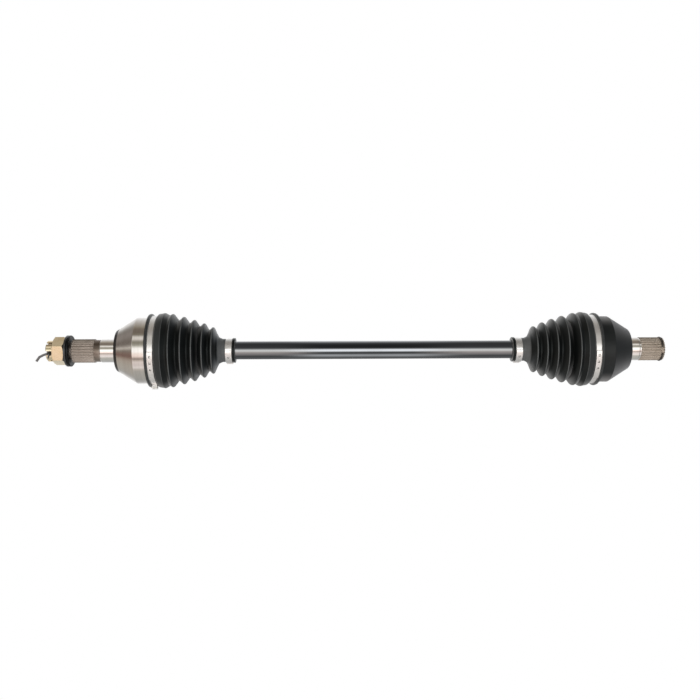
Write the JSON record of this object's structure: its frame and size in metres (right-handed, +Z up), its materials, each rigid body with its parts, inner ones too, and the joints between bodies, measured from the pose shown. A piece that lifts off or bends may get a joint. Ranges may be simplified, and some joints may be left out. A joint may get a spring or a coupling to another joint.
{
  "type": "cv axle",
  "caption": "Drive axle with a ball-type constant-velocity joint at each end, ribbed rubber boots, splined stubs and a castle nut.",
  "frame": {"origin": "on the axle's axis, in the plane of the outboard shoulder that seats against the wheel hub", "axes": "+X along the axle from the wheel end to the differential end, +Z up, +Y away from the front"},
  "size_m": [0.7598, 0.0912, 0.0912],
  "materials": {
    "gloss_black_bar": "gloss black enamel over steel",
    "turned_steel": "as-turned and ground steel, lightly oiled",
    "bearing_steel": "hardened and ground steel",
    "spring_steel": "dark spring steel",
    "boot_rubber": "matt black moulded rubber",
    "stainless_band": "bright stainless strip",
    "yellow_zinc": "yellow zinc plate over steel",
    "washer_steel": "grey phosphated spring steel",
    "washer_black": "black oxide",
    "pin_steel": "zinc-plated soft steel wire",
    "satin_black_steel": "satin black paint over steel"
  },
  "bodies": {
    "shaft": {"axle_bar": "gloss_black_bar", "outboard_inner_race": "bearing_steel", "inboard_inner_race": "bearing_steel", "outboard_shaft_circlip": "spring_steel", "inboard_shaft_circlip": "spring_steel", "outboard_small_clamp": "stainless_band", "inboard_small_clamp": "stainless_band"},
    "outboard_boot": {"outboard_boot": "boot_rubber"},
    "outboard_bell": {"outboard_bell": "turned_steel", "outboard_large_clamp": "stainless_band", "castle_nut": "yellow_zinc", "cone_washer_outer": "washer_steel", "cone_washer_inner": "washer_black", "cotter_pin": "pin_steel"},
    "outboard_cage": {"outboard_cage": "bearing_steel", "outboard_balls": "bearing_steel"},
    "inboard_boot": {"inboard_boot": "boot_rubber"},
    "inboard_bell": {"inboard_bell": "satin_black_steel", "inboard_large_clamp": "stainless_band", "inboard_mouth_ring": "spring_steel", "stub_circlip": "spring_steel"},
    "inboard_cage": {"inboard_cage": "bearing_steel", "inboard_balls": "bearing_steel"}
  },
  "joints": [
    {"name": "outboard_rise", "type": "hinge", "parent": "shaft", "child": "outboard_boot", "pos_m": [0.033, 0, 0], "axis": [0, 1, 0], "range_deg": [-10, 10], "deforming": ["outboard_boot"]},
    {"name": "outboard_steer", "type": "hinge", "parent": "outboard_boot", "child": "outboard_bell", "pos_m": [0.033, 0, 0], "axis": [0, 0, 1], "range_deg": [-40, 40], "deforming": ["outboard_boot"]},
    {"name": "outboard_cage_tilt", "type": "hinge", "parent": "outboard_boot", "child": "outboard_cage", "pos_m": [0.033, 0, 0], "axis": [0, 0, 1], "range_deg": [-20, 20]},
    {"name": "inboard_rise", "type": "hinge", "parent": "shaft", "child": "inboard_boot", "pos_m": [0.5878, 0, 0], "axis": [0, 1, 0], "range_deg": [-25, 25], "deforming": ["inboard_boot"]},
    {"name": "inboard_plunge", "type": "slide", "parent": "inboard_boot", "child": "inboard_bell", "axis": [1, 0, 0], "range_m": [-0.005, 0.005], "deforming": ["inboard_boot"]},
    {"name": "inboard_cage_tilt", "type": "hinge", "parent": "shaft", "child": "inboard_cage", "pos_m": [0.5878, 0, 0], "axis": [0, 1, 0], "range_deg": [-12.5, 12.5]}
  ],
  "couplings": [
    {"joint": "outboard_cage_tilt", "follows": "outboard_steer", "ratio": 0.5},
    {"joint": "inboard_cage_tilt", "follows": "inboard_rise", "ratio": 0.5}
  ]
}
